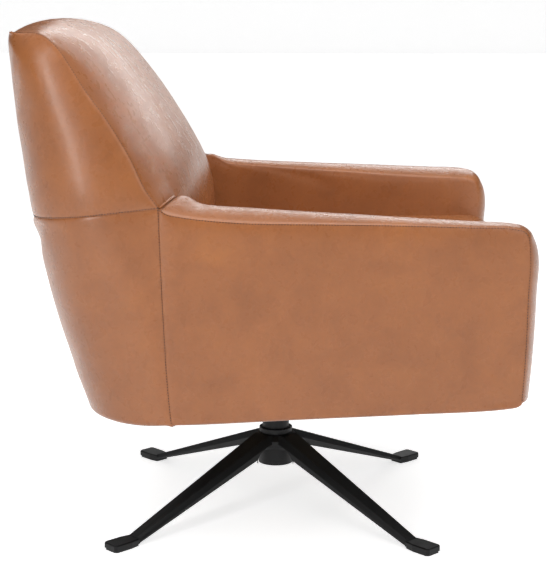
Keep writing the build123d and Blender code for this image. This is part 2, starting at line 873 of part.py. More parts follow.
def make_parts():
    """Every node's name with its solid, or with its list of like solids."""
    side_rail = make_side_rail()
    cross_rail = make_cross_rail()
    arm_board = make_arm_board()
    arm_pad = make_arm_pad()
    back_post = make_back_post()
    lower_rail, middle_rail, top_rail = make_back_rails()
    return {
        "base_casting": make_base_casting(),
        "foot_glides": make_glides(),
        "hub_cap": make_hub_cap(),
        "column_tube": make_column_tube(),
        "column_collar": make_column_collar(),
        "lower_bush": make_lower_bush(),
        "upper_bush": make_upper_bush(),
        "thrust_washer": make_thrust_washer(),
        "swivel_spindle": make_spindle(),
        "retaining_clip": make_retaining_clip(),
        "clip_washer": make_clip_washer(),
        "seat_plate": make_seat_plate(),
        "plate_bolts": make_plate_bolts(),
        "tee_nuts": make_tee_nuts(),
        "swivel_board": make_swivel_board(),
        "side_rail_left": side_rail,
        "side_rail_right": mirrored(side_rail),
        "front_rail": make_front_rail(),
        "rear_rail": make_rear_rail(),
        "cross_rail_left": cross_rail,
        "cross_rail_right": mirrored(cross_rail),
        "corner_blocks": make_corner_blocks(),
        "seat_webbing": make_seat_webbing(),
        "cross_webbing": make_cross_webbing(),
        "deck_pad": make_deck_pad(),
        "arm_board_left": arm_board,
        "arm_board_right": mirrored(arm_board),
        "arm_pad_left": arm_pad,
        "arm_pad_right": mirrored(arm_pad),
        "lower_shell": make_lower_shell(),
        "rear_cover": make_rear_cover(),
        "back_post_left": back_post,
        "back_post_right": mirrored(back_post),
        "back_lower_rail": lower_rail,
        "back_middle_rail": middle_rail,
        "back_top_rail": top_rail,
        "back_webbing": make_back_webbing(),
        "back_pad": make_back_pad(),
        "seat_cushion": make_seat_cushion(),
        "front_apron": make_front_apron(),
        "dust_cover": make_dust_cover(),
    }


os.makedirs("parts", exist_ok=True)
for name, solids in make_parts().items():
    shape = Compound(children=list(solids)) if isinstance(solids, list) else solids
    export_step(shape, f"parts/{name}.step")
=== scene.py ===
import json
import math

import bmesh
import bpy
import numpy as np
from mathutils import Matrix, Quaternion, Vector
from mathutils.bvhtree import BVHTree


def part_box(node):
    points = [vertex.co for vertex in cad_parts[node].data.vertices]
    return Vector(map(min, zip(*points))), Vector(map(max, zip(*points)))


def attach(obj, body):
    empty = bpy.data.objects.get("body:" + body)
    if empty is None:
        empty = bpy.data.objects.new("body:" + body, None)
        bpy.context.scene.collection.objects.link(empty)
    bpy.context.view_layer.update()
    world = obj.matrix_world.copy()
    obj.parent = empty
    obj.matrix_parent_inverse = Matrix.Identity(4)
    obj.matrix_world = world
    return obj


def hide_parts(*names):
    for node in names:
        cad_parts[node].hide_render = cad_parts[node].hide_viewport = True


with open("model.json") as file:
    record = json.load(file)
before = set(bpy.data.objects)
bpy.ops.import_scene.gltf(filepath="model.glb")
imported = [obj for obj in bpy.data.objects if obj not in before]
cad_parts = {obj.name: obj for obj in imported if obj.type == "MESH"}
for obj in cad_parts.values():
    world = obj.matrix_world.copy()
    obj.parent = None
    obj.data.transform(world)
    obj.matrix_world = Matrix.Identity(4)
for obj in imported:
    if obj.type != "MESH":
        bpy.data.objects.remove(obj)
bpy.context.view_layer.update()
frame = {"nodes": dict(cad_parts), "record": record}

# Leather swivel chair on a black four-legged base. Metres, +Z up, the chair faces -Y.

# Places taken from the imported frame
arm_low, arm_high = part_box("arm_pad_left")
half = arm_high.x
arm_inside = arm_low.x
cushion_low, cushion_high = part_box("seat_cushion")
deck_top = cushion_low.z
rear_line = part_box("rear_cover")[1].y
crest_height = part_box("back_pad")[1].z
shell_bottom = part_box("lower_shell")[0].z
apron_low, apron_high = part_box("front_apron")

# Panel meshes: rows close together at the edges, then evenly spaced
fine_steps = (0.0, 0.0016, 0.004, 0.0075, 0.0125, 0.02)
coarse_step = 0.013
curve_samples = 400
sample_step = 0.003

# Covers: thickness, overlap at the seams, and swell between them
skin = 0.007
thin_skin = 0.003
overlap = 0.0008
side_puff = 0.0012
back_puff = 0.0015
seat_puff = 0.001
puff_reach = 0.02
groove_depth = 0.0011
groove_width = 0.0026

# How far each cover gives in the cloth simulation
arm_give = 0.0015
shell_give = 0.004
back_give = 0.006
seat_give = 0.002

# Cloth simulation
arm_pressure = 2.0
cover_pressure = 3.0
held_band = 0.007
cloth_frames = 20
cloth_quality = 6
leather_mass = 0.4
leather_stiffness = 15.0
leather_bending = 1.5

# Stitching and welts: a stitch is given by its sections' places along it and their widths
stitch_pitch = 0.0042
stitch_length = 0.0024
stitch_radius = 0.00066
stitch_offset = 0.0013
stitch_sections = ((-0.5, 0.35), (-0.36, 0.9), (0.0, 1.0), (0.36, 0.9), (0.5, 0.35))
stitch_sides = 6
stitch_flatness = 0.8
stitch_lift_share = 0.2
stitch_search = 0.02
welt_radius = 0.0021
welt_lift = 0.0006
welt_points = 40
welt_sides = 8
arm_end_out = (0.0, -0.35, 0.94)

# Corner where arm, wing and lower shell meet, and the rear seam's place
joint = Vector((half, 0.157, 0.569))
rear_seam_y = 0.370
rear_seam_z = 0.543
seam_slope = (joint.z - rear_seam_z) / (rear_seam_y - joint.y)

# Plan of the rear: corner radius, bow, and the shares of half an outline where its side and corner end
corner_radius = 0.128
top_corner_radius = 0.046
least_radius = 0.004
rear_bow = 0.022
side_share = 0.16
corner_share = 0.46

# Lower shell: length of half its way round, share of it where the even steps end, height, and its low edges
shell_reach = 0.56
shell_middle_share = 0.97
shell_rise = 0.30
shell_foot = shell_bottom + 0.004
shell_edge = shell_bottom + 0.006

# Edges that turn under the body: angles of their rows, how flat the turn is, its radius on each piece
hem_turns = (25, 50, 75, 90)
hem_flat_share = 0.75
hem_depth = 0.016
shell_hem = 0.013
arm_hem = 0.005
body_centre = (0, -0.1, 0)

# Wings: length of half their way round, height, room for the corner, and where they blend into the lip
wing_reach = 0.50
wing_middle_share = 0.985
wing_rise = 0.36
corner_room_share = 0.82
lip_shares = (1, 0.985, 0.87, 0)
lip_blend_share = 0.80
lip_blend_width_share = 0.19

# Front of the back: height and length of its lower part, crown, and how fast the arms' line fades
front_joint_height = 0.580
front_lower_rise = 0.23
crown_power = 2.3
arm_line_fade = 0.13

# Arms: length and front height of the strip, its step across, and its crown
arm_length = 0.54
arm_front_rise = 0.25
strip_step = 0.009
strip_power = 2.6
strip_outer_share = 0.86
strip_inner_gain_share = 0.28

# Seat cushion: gaps round it, rear end, edge radius, mesh counts, seams, crown, waist and nose
cushion_gap = 0.0015
cushion_inset = 0.002
cushion_lift = 0.0005
cushion_rear = 0.118
cushion_radius = 0.015
cushion_counts = (44, 38, 7)
cushion_seam_inset = cushion_radius * 0.29
cushion_seam_points = 60
cushion_crown = 0.003
cushion_waist = 0.003
nose_length = 0.042
nose_drop = 0.021
nose_power = 2.2
upper_seam_drop = 0.012
lower_seam_rise = 0.010

# Felt pad and straps
felt_radius = 0.0024
felt_counts = (40, 36, 2)
felt_sag = 0.0008
strap_edge = 0.0006

# Camera fitted to the photo
camera_place = (-2.481, -0.064, 0.856)
camera_pitch = math.radians(10.63)
camera_pan = math.radians(1.57)
camera_lens = 94.44
camera_sensor = 36.0

# Studio
sky_stops = ((0.0, 0.04), (0.35, 0.09), (0.65, 0.50), (1.0, 0.70))
stage_reach = 24.0
stage_rise = 1.2
floor_glow = 0.68


# Curves and grids

def steps(length, coarse=coarse_step, fine=fine_steps):
    """Places from 0 to 1 along a length, close together near both ends."""
    edge = np.array(fine)
    inner = length - 2 * edge[-1]
    count = max(1, round(inner / coarse))
    middle = edge[-1] + inner * np.arange(1, count) / count
    return np.concatenate([edge, middle, (length - edge)[::-1]]) / length


def curve_at(places, knots, values):
    """Smooth run of values through a few knots."""
    knots, values = np.array(knots, float), np.array(values, float)
    slopes = np.gradient(values, knots, axis=0)
    k = np.clip(np.searchsorted(knots, places, side="right") - 1, 0, len(knots) - 2)
    span = knots[k + 1] - knots[k]
    t = (places - knots[k]) / span
    if values.ndim == 2:
        span, t = span[:, None], t[:, None]
    return ((2 * t**3 - 3 * t**2 + 1) * values[k] + (t**3 - 2 * t**2 + t) * span * slopes[k]
            + (3 * t**2 - 2 * t**3) * values[k + 1] + (t**3 - t**2) * span * slopes[k + 1])


def smooth(points, places):
    """Smooth curve through a few points, read at places from 0 to 1 along its length."""
    points = np.array([tuple(p) for p in points], float)
    chords = np.linalg.norm(np.diff(points, axis=0), axis=1)
    knots = np.concatenate([[0], np.cumsum(chords)])
    curve = curve_at(np.linspace(0, knots[-1], curve_samples), knots, points)
    lengths = np.concatenate([[0], np.cumsum(np.linalg.norm(np.diff(curve, axis=0), axis=1))])
    wanted = np.asarray(places, float) * lengths[-1]
    return np.stack([np.interp(wanted, lengths, curve[:, i]) for i in range(curve.shape[1])], axis=1)


def length_of(curve):
    return float(np.linalg.norm(np.diff(np.asarray(curve), axis=0), axis=1).sum())


def panel(top, front, bottom, rear, x):
    """Flat side panel in rings that shrink from its outline to a level line through its middle."""
    loop = np.vstack([top, front[1:], bottom[1:], rear[1:-1]])
    low, high = loop.min(axis=0), loop.max(axis=0)
    depth = (high[1] - low[1]) / 2
    turn = len(front) // 2
    upper = np.arange(-turn, len(top) + turn) % len(loop)
    lower = np.arange(len(loop) - turn, len(top) + turn - 2, -1)
    back, ahead = high[0] - 0.5 * depth, low[0] + 0.5 * depth
    line = np.column_stack([back + (ahead - back) * place_along(loop[upper]),
                            np.full(len(upper), (low[1] + high[1]) / 2)])
    target = np.zeros_like(loop)
    target[upper], target[lower] = line, line
    near = np.array(fine_steps) / depth
    shares = [*near, *np.linspace(near[-1], 1, 12)[1:]]
    rings = np.array([loop + (target - loop) * share for share in shares])
    rings = np.concatenate([rings, rings[:, :1]], axis=1)
    return np.concatenate([np.full(rings.shape[:2] + (1,), x), rings], axis=2)


def place_along(curve):
    """Share of its length at each point of a curve."""
    lengths = np.concatenate([[0], np.cumsum(np.linalg.norm(np.diff(curve, axis=0), axis=1))])
    return lengths / lengths[-1]


def mesh_piece(name, grids, inside):
    """Mesh from grids of points, welded where they meet, each grid facing away from a point inside."""
    points, faces, start = [], [], 0
    for grid in grids:
        rows, columns = grid.shape[:2]
        index = start + np.arange(rows * columns).reshape(rows, columns)
        sides = [index[:-1, :-1], index[:-1, 1:], index[1:, 1:], index[1:, :-1]]
        quads = np.stack(sides, axis=-1).reshape(-1, 4)
        corners = grid.reshape(-1, 3)[quads - start]
        facing = np.cross(corners[:, 2] - corners[:, 0], corners[:, 3] - corners[:, 1])
        outward = (facing * (corners.mean(axis=1) - np.array(inside))).sum()
        faces.append(quads[:, ::-1] if outward < 0 else quads)
        points.append(grid.reshape(-1, 3))
        start += rows * columns
    points, faces = np.vstack(points), np.vstack(faces)
    _, first, back = np.unique(np.round(points, 5), axis=0, return_index=True, return_inverse=True)
    faces = back.reshape(-1)[faces]
    faces = [list(dict.fromkeys(face)) for face in faces.tolist()]
    mesh = bpy.data.meshes.new(name)
    mesh.from_pydata(points[first].tolist(), [], [face for face in faces if len(face) > 2])
    mesh.shade_smooth()
    piece = bpy.data.objects.new(name, mesh)
    bpy.context.scene.collection.objects.link(piece)
    return piece


def points_of(piece):
    co = np.zeros(len(piece.data.vertices) * 3)
    piece.data.vertices.foreach_get("co", co)
    return co.reshape(-1, 3)


def set_points(piece, co):
    piece.data.vertices.foreach_set("co", np.asarray(co, np.float32).reshape(-1))
    piece.data.update()


def normals_of(piece):
    out = np.zeros(len(piece.data.vertices) * 3)
    piece.data.vertex_normals.foreach_get("vector", out)
    return out.reshape(-1, 3)


def distance_to(co, curves):
    """Distance of each point to the nearest of several curves."""
    samples = np.vstack([sampled(curve) for curve in curves])
    best = np.full(len(co), np.inf)
    for chunk in np.array_split(samples, max(1, len(samples) // 60)):
        gaps = np.linalg.norm(co[:, None] - chunk[None], axis=2)
        best = np.minimum(best, gaps.min(axis=1))
    return best


def sampled(curve):
    """The curve itself where it is finely drawn, or else points along it."""
    if len(curve) >= 30:
        return np.asarray(curve)
    return smooth(curve, np.linspace(0, 1, max(8, int(length_of(curve) / sample_step))))


def mirrored(curve):
    return np.asarray(curve) * np.array([-1.0, 1.0, 1.0])


# Lines that the pieces share. The back's side seam runs from the joint over the shoulder to the lip.

side_seam = [joint, (0.3955, 0.173, 0.590), (0.389, 0.198, 0.640), (0.381, 0.229, 0.690),
             (0.372, 0.266, 0.740), (0.364, 0.290, 0.777), (0.357, 0.307, 0.799), (0.347, 0.326, 0.8125),
             (0.334, 0.347, 0.8165), (0.318, 0.3655, 0.8160), (0.300, 0.3790, 0.8150)]
upright_seam = [joint, (half, 0.1545, 0.480), (half, 0.151, 0.390), (half, 0.147, 0.310),
                (half, 0.142, 0.250)]

# Profiles on the middle plane, as depth and height
rear_profile = [(rear_seam_y, rear_seam_z), (0.3745, 0.577), (0.381, 0.635), (0.386, 0.671), (0.392, 0.732),
                (0.397, 0.767), (rear_line, 0.790), (0.3985, 0.806), (0.3945, 0.8165)]
front_profile = [(0.122, deck_top), (0.120, 0.460), (0.117, 0.540), (0.1225, 0.577), (0.151, 0.631),
                 (0.181, 0.677), (0.211, 0.722), (0.2425, 0.763), (0.270, 0.793), (0.300, 0.817),
                 (0.328, 0.8310), (0.352, crest_height - 0.0015), (0.376, 0.8305), (0.3895, 0.8235),
                 (0.3945, 0.8160)]
shell_profile = [(rear_seam_y, rear_seam_z), (0.3655, 0.520), (0.353, 0.468), (0.3405, 0.413), (0.328, 0.366),
                 (0.3145, 0.321), (0.303, 0.280), (0.294, shell_foot)]

# Foot of the back's front along the arm's inner face, as depth and height
foot_line = [(0.134, deck_top), (0.130, 0.460), (0.1285, 0.505), (0.130, 0.535), (0.1355, 0.560)]


def plan_path(front_x, front_y, rear_y, radius, places):
    """Half of a plan outline, from a point on the side back round the corner to the middle of the rear."""
    side_points, corner_points, rear_points = 12, 24, 40
    lean = 2 * rear_bow * (front_x - radius) / front_x**2
    angle = math.pi / 2 - math.atan(lean)
    edge_x = front_x - radius + radius * math.cos(angle)
    edge_y = rear_y - rear_bow * (edge_x / front_x) ** 2
    centre = np.array([front_x - radius, edge_y - radius * math.sin(angle)])
    start = np.array([front_x, front_y])
    side = start + np.linspace(0, 1, side_points)[:, None] * ([front_x, centre[1]] - start)
    turn = np.linspace(0, angle, corner_points)
    arc = centre + radius * np.stack([np.cos(turn), np.sin(turn)], axis=1)
    x = np.linspace(edge_x, 0, rear_points)
    rear = np.stack([x, rear_y - rear_bow * (x / front_x) ** 2], axis=1)
    shares = np.concatenate([np.linspace(0, side_share, side_points),
                             np.linspace(side_share, corner_share, corner_points)[1:],
                             np.linspace(corner_share, 1, rear_points)[1:]])
    line = np.vstack([side, arc[1:], rear[1:]])
    return np.stack([np.interp(places, shares, line[:, i]) for i in range(2)], axis=1)


def round_trip(half_rows):
    """Full rows, left to right round the rear, from rows that run from the left side to the middle."""
    right = half_rows[:, ::-1] * np.array([-1.0, 1.0, 1.0])
    return np.concatenate([half_rows, right[:, 1:]], axis=1)


def half_round(reach, middle_share):
    """Places along half a way round: close together at the seam, evenly spaced towards the middle."""
    places = steps(reach)
    return np.concatenate([places[places < middle_share], [1.0]])


# Lower shell

def lower_shell():
    """Wraps the lower back from one upright seam to the other, with its bottom edge turned under."""
    columns = half_round(shell_reach, shell_middle_share)
    down = steps(shell_rise)
    rows = []
    for start, end in zip(smooth(upright_seam, down), smooth(shell_profile, down)):
        plan = plan_path(half, start[1], end[0], corner_radius, columns)
        top = joint.z - seam_slope * (plan[:, 1] - joint.y)
        bottom = np.full(len(plan), shell_edge)
        blend = (end[1] - shell_foot) / (rear_seam_z - shell_foot)
        rows.append(np.column_stack([plan, bottom + (top - bottom) * blend]))
    rows = np.array(rows)
    rows[0, :, 2] += overlap
    rows[:, 0, 1] -= overlap
    hem = turned_under(rows[-1], shell_hem)
    grid = round_trip(np.concatenate([rows, hem]))
    return mesh_piece("lower_shell_cover", [grid], (0, 0.05, 0.4))


def turned_under(edge, radius):
    """Rows that turn a bottom edge under the body and a little way in."""
    out = np.gradient(edge, axis=0)
    out = np.column_stack([out[:, 1], -out[:, 0], np.zeros(len(out))])
    out /= np.linalg.norm(out, axis=1)[:, None]
    inward = out * np.where((out * (edge - body_centre)).sum(axis=1) > 0, -1.0, 1.0)[:, None]
    rows = []
    for angle in hem_turns:
        turn = math.radians(angle)
        fall = radius * math.sin(turn) * hem_flat_share
        rows.append(edge + inward * radius * (1 - math.cos(turn)) - [0, 0, fall])
    rows.append(rows[-1] + inward * hem_depth)
    return np.array(rows)


# Rear cover and wings

def rear_cover(lip):
    """Wings and rear in one: from the sloping seam up to the side seams and the lip across the rear."""
    columns = half_round(wing_reach, wing_middle_share)
    up = steps(wing_rise)
    half_lip = lip[len(lip) // 2 :]
    across = half_lip[-1, 0] * np.interp(columns, [0, side_share, corner_share, 1], lip_shares)
    half_lip = np.column_stack([across, *(np.interp(across, half_lip[:, 0], half_lip[:, i]) for i in (1, 2))])
    rows = []
    for share, start, end in zip(up, smooth(side_seam, up), smooth(rear_profile, up)):
        radius = corner_radius + (top_corner_radius - corner_radius) * share
        radius = max(least_radius, min(radius, corner_room_share * (end[0] - rear_bow - start[1])))
        plan = plan_path(start[0], start[1], end[0], radius, columns)
        blend = (plan[:, 1] - start[1]) / (end[0] - start[1])
        rows.append(np.column_stack([plan, start[2] + (end[1] - start[2]) * blend]))
    rows = np.array(rows)
    change = half_lip - rows[-1]
    change[0] = 0
    turn = np.clip((up - lip_blend_share) / lip_blend_width_share, 0, 1)
    rows += (turn * turn * (3 - 2 * turn))[:, None, None] * change
    rows[0, :, 2] -= overlap
    return mesh_piece("rear_cover_wings", [round_trip(rows)], (0, 0.2, 0.65))


# Front of the back

def back_front(arm_end):
    """Crowned front of the back: between the arms, then over the top to the lip behind."""
    profile = [(0, *place) for place in front_profile]
    whole = smooth(profile, np.linspace(0, 1, curve_samples))
    level = np.abs(whole[: curve_samples // 2, 2] - front_joint_height).argmin() / (curve_samples - 1)
    up = steps(front_lower_rise)
    foot = smooth([(arm_inside, *place) for place in foot_line] + [arm_end[-1]], up)
    across = steps(2 * arm_inside) * 2 - 1
    middle = smooth(profile, up * level)
    lower = np.array([crowned(side, centre, across) for side, centre in zip(foot, middle)])

    seam = smooth(side_seam, steps(length_of(smooth(side_seam, np.linspace(0, 1, 50)))))
    along = place_along(seam)
    middle = smooth(profile, level + (1 - level) * along)
    ends = arm_end[:, 0] / half
    columns = np.concatenate([-ends, across[1:-1] * arm_inside / half, ends[::-1]])
    upper = np.array([crowned(side, centre, columns) for side, centre in zip(seam, middle)])
    first = np.concatenate([mirrored(arm_end), lower[-1][1:-1], arm_end[::-1]])
    change = (first - upper[0]) * [0, 1, 1]
    upper += np.exp(-((along / arm_line_fade) ** 2))[:, None, None] * change[None]
    edge = np.concatenate([foot, arm_end[::-1][1:], seam[1:]])
    return mesh_piece("back_front_cover", [lower, upper], (0, 0.33, 0.6)), edge, upper[-1]


def crowned(side, centre, across):
    """Row from side to side through a centre point, flat in the middle and falling off towards the sides."""
    fall = 1 - np.abs(across) ** crown_power
    return np.column_stack([side[0] * across, side[1] + (centre[1] - side[1]) * fall,
                            side[2] + (centre[2] - side[2]) * fall])


# Arms: the two seams of the strip that runs along the top and down the front, and the panels' other edges,
# as depth and height. The swell of the strip goes by share of the way to the front corner.

arm_front_edge = [(-0.3735, 0.440), (-0.372, 0.349), (-0.3690, 0.289)]
arm_path = [(0.157, 0.569), (0.1465, 0.5625), (0.128, 0.5585), (0.099, 0.5545), (0.050, 0.5505),
            (-0.080, 0.5485), (-0.186, 0.5475), (-0.290, 0.5450), (-0.352, 0.5425), (-0.3645, 0.5395),
            (-0.3715, 0.5310), (-0.3735, 0.5190)] + arm_front_edge
arm_path_inner = [(0.142, 0.5745), (0.131, 0.5765), (0.1215, 0.5755), (0.1145, 0.5700), (0.105, 0.5635),
                  (0.083, 0.560), (0.030, 0.556), (-0.045, 0.5504), (-0.124, 0.5455), (-0.232, 0.5386),
                  (-0.310, 0.5354), (-0.350, 0.5336), (-0.3635, 0.5310), (-0.3710, 0.5240),
                  (-0.3735, 0.5120)] + arm_front_edge
arm_bottom = [(-0.3690, 0.289), (-0.3640, 0.2830), (-0.352, 0.2815), (-0.203, 0.2720), (-0.045, 0.2635),
              (0.051, 0.2575), (0.142, 0.2515)]
arm_inner_rear = [(0.150, 0.36), (0.150, 0.46), (0.149, 0.545)]
arm_corner = (-0.3715, 0.5310)
swell_shares = (0.0, 0.10, 0.25, 0.50, 0.80, 0.93, 0.975, 1.00, 1.03, 1.06, 1.15, 1.35, 1.50)
swell_heights = (0.0030, 0.0062, 0.0075, 0.0068, 0.0050, 0.0042, 0.0050, 0.0080, 0.0132, 0.0156, 0.0156,
                 0.0140, 0.0120)


def arm_cover():
    """Arm: outer and inner panels, the crowned strip between them and the bottom edges turned under."""
    top, down = steps(arm_length), steps(arm_front_rise)
    whole = smooth(arm_path, np.linspace(0, 1, curve_samples))
    corner = int(np.abs(whole - arm_corner).sum(axis=1).argmin()) / (curve_samples - 1)
    places = np.concatenate([top * corner, corner + down[1:] * (1 - corner)])
    outer, inner = smooth(arm_path, places), smooth(arm_path_inner, places)
    tangent = np.gradient(outer, axis=0)
    normal = np.stack([tangent[:, 1], -tangent[:, 0]], axis=1)
    normal /= np.linalg.norm(normal, axis=1)[:, None]
    normal *= np.sign((normal * [-1, 1]).sum(axis=1))[:, None]
    swell = curve_at(places / corner, swell_shares, swell_heights)
    strip = []
    for share in steps(half - arm_inside, strip_step):
        rise = (1 - abs(2 * share - 1) ** strip_power) * (strip_outer_share + strip_inner_gain_share * share)
        line = outer + (inner - outer) * share + normal * (swell * rise)[:, None]
        strip.append(np.column_stack([np.full(len(line), half - (half - arm_inside) * share), line]))
    strip = np.array(strip)
    bottom = smooth(arm_bottom, top)
    outer_rear = smooth([tuple(p)[1:] for p in upright_seam], down)[::-1] + [overlap, 0]
    outer_rear[-1] = outer[0]
    inner_rear = smooth([bottom[-1], *arm_inner_rear, inner[0]], down)
    count = len(top)
    grids = [strip, panel(outer[:count], outer[count - 1 :], bottom, outer_rear, half),
             panel(inner[:count], inner[count - 1 :], bottom, inner_rear, arm_inside)]
    outer_foot = np.column_stack([np.full(len(bottom), half), bottom])
    for foot in (outer_foot, strip[:, -1]):
        grids.append(np.concatenate([foot[None], turned_under(foot, arm_hem)]))
    return grids, outer, inner, strip[:, 0]


# Seat cushion and front apron

def rounded_block(low, high, radius, counts):
    """Closed box of six welded grids with rounded edges."""
    low, high = np.array(low), np.array(high)
    size = high - low
    axes = []
    for i in range(3):
        turn = radius * (1 - np.cos(np.radians([0, 22.5, 45, 67.5, 90])))
        inner = np.linspace(radius, size[i] - radius, counts[i])
        axes.append(low[i] + np.concatenate([turn[:-1], inner, (size[i] - turn[:-1])[::-1]]))
    grids = []
    for axis in range(3):
        u_axis, v_axis = [i for i in range(3) if i != axis]
        u, v = np.meshgrid(axes[u_axis], axes[v_axis], indexing="ij")
        for place in (low[axis], high[axis]):
            grid = np.zeros(u.shape + (3,))
            grid[..., u_axis], grid[..., v_axis], grid[..., axis] = u, v, place
            core = np.clip(grid, low + radius, high - radius)
            out = grid - core
            reach = np.linalg.norm(out, axis=2, keepdims=True)
            outward = out / np.maximum(reach, 1e-9)
            grids.append(core + outward * radius)
    return grids


def cushion():
    """Seat cushion: crowned top, sides that draw in between its corners and a rolled nose."""
    low = Vector((cushion_gap - arm_inside, cushion_low.y + cushion_inset, deck_top + cushion_lift))
    high = Vector((arm_inside - cushion_gap, cushion_rear, cushion_high.z - cushion_inset))
    block = rounded_block(low, high, cushion_radius, cushion_counts)
    piece = mesh_piece("seat_cushion_cover", block, (low + high) / 2)
    co = points_of(piece)
    middle, reach = np.array((low + high) / 2), np.array((high - low) / 2)
    share = np.clip((co - middle) / reach, -1, 1)
    up = np.clip((share[:, 2] + 0.2) / 1.2, 0, 1)
    crown = (1 - np.abs(share[:, 0]) ** 3) * (1 - np.abs(share[:, 1]) ** 6)
    co[:, 2] += cushion_crown * crown * up
    draw = (1 - share[:, 1] ** 2) * (1 - up * 0.6)
    co[:, 0] -= np.sign(share[:, 0]) * cushion_waist * draw * (np.abs(share[:, 0]) > 0.8)
    nose = np.clip((low.y + nose_length - co[:, 1]) / nose_length, 0, 1)
    co[:, 2] -= nose_drop * nose**nose_power * np.clip(share[:, 2], 0, 1)
    set_points(piece, co)
    levels = (high.z - upper_seam_drop, low.z + lower_seam_rise)
    return piece, [edge_loop(low, high, level) for level in levels]


def edge_loop(low, high, level):
    """Seam round the cushion at one level."""
    left, right = low.x + cushion_seam_inset, high.x - cushion_seam_inset
    near, far = low.y + cushion_seam_inset, high.y - cushion_seam_inset
    corners = np.array([(left, near, level), (right, near, level), (right, far, level), (left, far, level)])
    places = np.linspace(0, 1, cushion_seam_points)[:-1, None]
    ends = np.roll(corners, -1, axis=0)
    return np.vstack([start + (end - start) * places for start, end in zip(corners, ends)])


def apron():
    """Padded strip between the arms, under the cushion's nose."""
    near, far, foot, top = apron_low.y, apron_high.y, apron_low.z, apron_high.z
    profile = [(far - 0.002, top - 0.004), (near + 0.006, top - 0.001), (near, top - 0.010),
               (near, foot + 0.028), (near + 0.001, foot + 0.009), (near + 0.006, foot + 0.003),
               (near + 0.022, foot + 0.002)]
    across = arm_inside * 0.9985 * (steps(2 * arm_inside) * 2 - 1)
    line = smooth(profile, np.linspace(0, 1, 26))
    rows = np.array([[(x, y, z) for x in across] for y, z in line])
    piece = mesh_piece("front_apron_cover", [rows], (0, far, (foot + top) / 2))
    return piece, [rows[0], rows[-1], rows[:, 0], rows[:, -1]]


# Underside, deck and straps

def dust_cover():
    """Thin cloth stapled under the frame, a little slack between its edges, open round the swivel board."""
    low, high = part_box("dust_cover")
    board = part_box("swivel_board")[1]
    hole_x, hole_y = board.x + 0.002, board.y + 0.002
    corner, bow, bow_reach, rear_gap = 0.107, 0.012, 0.28, 0.004
    inset, sag, sag_reach = 0.0008, 0.0007, 0.03
    x = np.concatenate([np.linspace(low.x, -hole_x, 16), np.linspace(-hole_x, hole_x, 18)[1:-1],
                        np.linspace(hole_x, high.x, 16)])
    rear = high.y - bow * (x / bow_reach) ** 2
    round_off = np.clip(np.abs(x) - (high.x - corner), 0, corner)
    rear = np.minimum(rear, joint.y - rear_gap + np.sqrt(np.maximum(corner**2 - round_off**2, 0)))
    y = np.concatenate([np.linspace(low.y, -hole_y, 14), np.linspace(-hole_y, hole_y, 16)[1:-1], [hole_y]])
    rows = [np.column_stack([x, np.full(len(x), place)]) for place in y]
    rows += [np.column_stack([x, hole_y + (rear - hole_y) * share]) for share in np.linspace(0, 1, 10)[1:]]
    rows = np.array(rows)
    level = low.z + inset
    height = np.interp(rows[..., 1], [low.y, 0.150, high.y], [high.z - inset, level, level])
    slack = np.sin(rows[..., 0] * 61 + 2.1 * np.sin(rows[..., 1] * 23)) * np.sin(rows[..., 1] * 37 + 1.3)
    edge = np.minimum(high.x - np.abs(rows[..., 0]), rows[..., 1] - low.y)
    height = height - sag * slack * np.clip(edge / sag_reach, 0, 1)
    piece = mesh_piece("dust_cover_cloth", [np.dstack([rows, height])], (0, 0, 1))
    drop(piece, lambda centre: abs(centre.x) < hole_x - 0.001 and abs(centre.y) < hole_y - 0.001)
    return piece


def drop(piece, gone):
    """Deletes the faces whose centres pass a test."""
    form = bmesh.new()
    form.from_mesh(piece.data)
    faces = [face for face in form.faces if gone(face.calc_center_median())]
    bmesh.ops.delete(form, geom=faces, context="FACES")
    form.to_mesh(piece.data)
    form.free()


def deck():
    """Felt pad over the webbing, with soft edges and a slightly uneven top."""
    low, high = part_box("deck_pad")
    block = rounded_block(low, high, felt_radius, felt_counts)
    piece = mesh_piece("deck_pad_felt", block, (low + high) / 2)
    co = points_of(piece)
    uneven = np.sin(co[:, 0] * 47) * np.sin(co[:, 1] * 39 + 0.7)
    co[:, 2] -= felt_sag * (1 + uneven) * (co[:, 2] > (low.z + high.z) / 2)
    set_points(piece, co)
    return piece


def straps(node):
    """Woven straps in the places of a node's bands, with rounded edges."""
    mesh = frame["nodes"][node].data.copy()
    mesh.materials.clear()
    piece = bpy.data.objects.new(node + "_straps", mesh)
    bpy.context.scene.collection.objects.link(piece)
    edges = piece.modifiers.new("edges", "BEVEL")
    edges.width = strap_edge
    edges.segments = 2
    return piece


# Cloth

